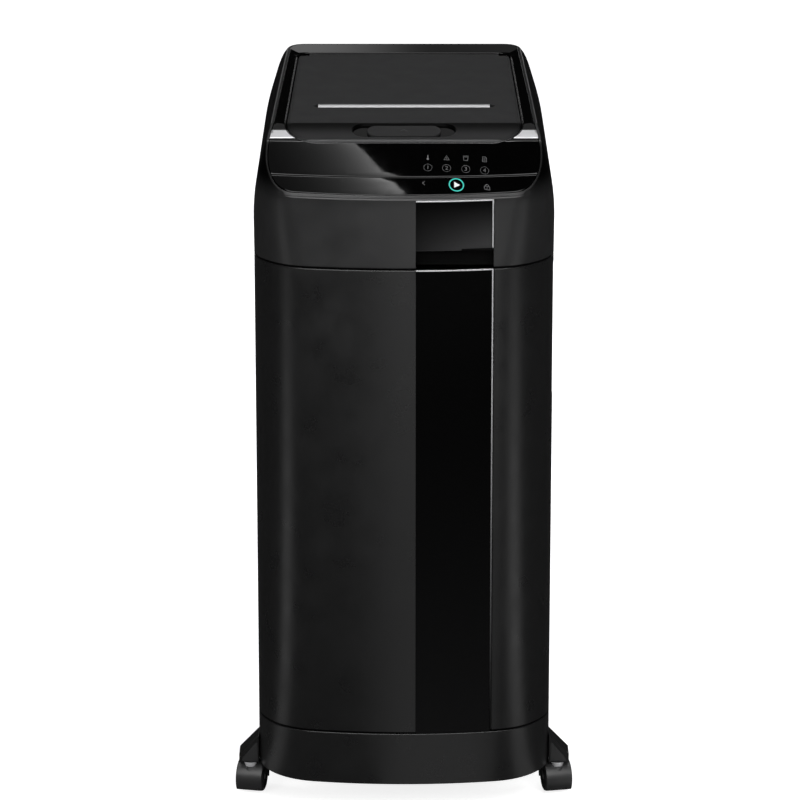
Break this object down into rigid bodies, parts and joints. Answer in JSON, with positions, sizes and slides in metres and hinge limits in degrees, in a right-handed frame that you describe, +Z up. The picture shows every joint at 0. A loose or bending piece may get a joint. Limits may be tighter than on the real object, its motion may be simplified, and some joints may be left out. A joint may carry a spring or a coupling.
{
  "type": "paper shredder",
  "caption": "Tall automatic-feed office paper shredder on swivel casters, with a pull-out bin drawer, a sloped gloss control panel and a hinged lid over the sheet tray.",
  "frame": {"origin": "centre of the footprint, on the floor", "axes": "+Z up; front (drawer and control panel) faces -Y; +X is the viewer's right"},
  "size_m": [0.455, 0.505, 0.9497],
  "materials": {
    "cabinet_black": "moulded matte black with a fine grain",
    "gloss_black": "high-gloss piano black",
    "lid_black": "matte charcoal",
    "silver_trim": "satin silver",
    "inner_black": "plain matte black",
    "bin_grey": "translucent-look dark grey, matt",
    "plate_steel": "zinc-plated sheet steel",
    "tool_steel": "hardened ground steel",
    "gear_nylon": "natural nylon",
    "rubber": "soft black rubber",
    "caster_black": "moulded nylon, semi-matt",
    "board_green": "circuit board lacquer"
  },
  "bodies": {
    "root": {"base_plinth": "cabinet_black", "caster_bracket_left": "cabinet_black", "caster_bracket_right": "cabinet_black", "cabinet_shell": "cabinet_black", "head_shell": "cabinet_black", "head_fascia": "gloss_black", "key_strip": "gloss_black", "control_fascia": "gloss_black", "top_bezel": "gloss_black", "head_trim": "silver_trim", "accent_left": "silver_trim", "accent_right": "silver_trim", "paper_tray": "inner_black", "stripper_front": "inner_black", "stripper_rear": "inner_black", "gearbox_cover": "inner_black", "power_inlet": "inner_black", "switch_housing": "inner_black", "rear_vent": "inner_black", "cabinet_runner_left": "plate_steel", "cabinet_runner_right": "plate_steel", "deck_plate": "plate_steel", "end_plate_left": "plate_steel", "end_plate_right": "plate_steel", "bearing_block_left": "plate_steel", "bearing_block_right": "plate_steel", "motor_body": "plate_steel", "power_supply": "plate_steel", "feed_belt_front": "rubber", "feed_belt_rear": "rubber", "control_board": "board_green", "main_board": "board_green"},
    "drawer": {"drawer_front": "cabinet_black", "drawer_fascia": "gloss_black", "drawer_trim": "silver_trim", "drawer_frame": "inner_black", "drawer_runner_left": "plate_steel", "drawer_runner_right": "plate_steel", "waste_bin": "bin_grey"},
    "lid": {"lid_shell": "lid_black", "slot_trim": "silver_trim"},
    "latch": {"latch_button": "lid_black"},
    "flap": {"pressure_plate": "inner_black"},
    "front_rotor": {"cutter_front": "tool_steel", "cutter_gear": "gear_nylon"},
    "rear_rotor": {"cutter_rear": "tool_steel", "drive_gear": "gear_nylon"},
    "reduction": {"reduction_gear": "gear_nylon"},
    "motor_shaft": {"motor_rotor": "tool_steel"},
    "front_roller": {"feed_roller_front": "rubber"},
    "rear_roller": {"feed_roller_rear": "rubber"},
    "rocker": {"rocker_switch": "inner_black"},
    "caster_front_left": {"caster_housing_front_left": "caster_black"},
    "wheels_front_left": {"caster_wheels_front_left": "rubber"},
    "caster_front_right": {"caster_housing_front_right": "caster_black"},
    "wheels_front_right": {"caster_wheels_front_right": "rubber"},
    "caster_rear_left": {"caster_housing_rear_left": "caster_black"},
    "wheels_rear_left": {"caster_wheels_rear_left": "rubber"},
    "caster_rear_right": {"caster_housing_rear_right": "caster_black"},
    "wheels_rear_right": {"caster_wheels_rear_right": "rubber"}
  },
  "joints": [
    {"name": "lid_hinge", "type": "hinge", "parent": "root", "child": "lid", "pos_m": [0, 0.1669, 0.94235], "axis": [-1, 0, 0], "range_deg": [0, 78]},
    {"name": "latch_slide", "type": "slide", "parent": "lid", "child": "latch", "axis": [0, 0.9401, 0.3408], "range_m": [0, 0.003], "stiffness_N_per_m": 300, "springref_m": -0.002},
    {"name": "flap_hinge", "type": "hinge", "parent": "lid", "child": "flap", "pos_m": [0, 0.1435, 0.93527], "axis": [-1, 0, 0], "range_deg": [0, 13.5], "stiffness_Nm_per_rad": 0.5, "springref_deg": -5.73},
    {"name": "drawer_slide", "type": "slide", "parent": "root", "child": "drawer", "axis": [0, -1, 0], "range_m": [0, 0.38]},
    {"name": "front_rotor_spin", "type": "hinge", "parent": "root", "child": "front_rotor", "pos_m": [0, -0.0935, 0.8], "axis": [1, 0, 0], "continuous": true},
    {"name": "rear_rotor_spin", "type": "hinge", "parent": "root", "child": "rear_rotor", "pos_m": [0, -0.0515, 0.8], "axis": [1, 0, 0], "continuous": true},
    {"name": "reduction_spin", "type": "hinge", "parent": "root", "child": "reduction", "pos_m": [0, -0.00651, 0.80956], "axis": [1, 0, 0], "continuous": true},
    {"name": "motor_spin", "type": "hinge", "parent": "root", "child": "motor_shaft", "pos_m": [0, 0.04349, 0.80956], "axis": [1, 0, 0], "continuous": true},
    {"name": "front_roller_spin", "type": "hinge", "parent": "root", "child": "front_roller", "pos_m": [0, -0.1025, 0.8515], "axis": [1, 0, 0], "continuous": true},
    {"name": "rear_roller_spin", "type": "hinge", "parent": "root", "child": "rear_roller", "pos_m": [0, -0.0425, 0.8515], "axis": [1, 0, 0], "continuous": true},
    {"name": "rocker_tilt", "type": "hinge", "parent": "root", "child": "rocker", "pos_m": [-0.082, 0.248, 0.79], "axis": [0, 0, 1], "range_deg": [-16, 0]},
    {"name": "swivel_front_left", "type": "hinge", "parent": "root", "child": "caster_front_left", "pos_m": [-0.207, -0.164, 0.05], "axis": [0, 0, 1], "continuous": true},
    {"name": "roll_front_left", "type": "hinge", "parent": "caster_front_left", "child": "wheels_front_left", "pos_m": [-0.20492, -0.15422, 0.02], "axis": [0.9781, -0.2079, 0], "continuous": true},
    {"name": "swivel_front_right", "type": "hinge", "parent": "root", "child": "caster_front_right", "pos_m": [0.207, -0.164, 0.05], "axis": [0, 0, 1], "continuous": true},
    {"name": "roll_front_right", "type": "hinge", "parent": "caster_front_right", "child": "wheels_front_right", "pos_m": [0.20492, -0.15422, 0.02], "axis": [0.9781, 0.2079, 0], "continuous": true},
    {"name": "swivel_rear_left", "type": "hinge", "parent": "root", "child": "caster_rear_left", "pos_m": [-0.15, 0.1835, 0.05], "axis": [0, 0, 1], "continuous": true},
    {"name": "roll_rear_left", "type": "hinge", "parent": "caster_rear_left", "child": "wheels_rear_left", "pos_m": [-0.15, 0.1935, 0.02], "axis": [1, 0, 0], "continuous": true},
    {"name": "swivel_rear_right", "type": "hinge", "parent": "root", "child": "caster_rear_right", "pos_m": [0.15, 0.1835, 0.05], "axis": [0, 0, 1], "continuous": true},
    {"name": "roll_rear_right", "type": "hinge", "parent": "caster_rear_right", "child": "wheels_rear_right", "pos_m": [0.15, 0.1935, 0.02], "axis": [1, 0, 0], "continuous": true}
  ],
  "couplings": [
    {"joint": "rear_rotor_spin", "follows": "front_rotor_spin", "ratio": -1},
    {"joint": "reduction_spin", "follows": "front_rotor_spin", "ratio": 2.5385},
    {"joint": "motor_spin", "follows": "front_rotor_spin", "ratio": -10.154},
    {"joint": "front_roller_spin", "follows": "front_rotor_spin", "ratio": 1},
    {"joint": "rear_roller_spin", "follows": "front_rotor_spin", "ratio": -1}
  ]
}
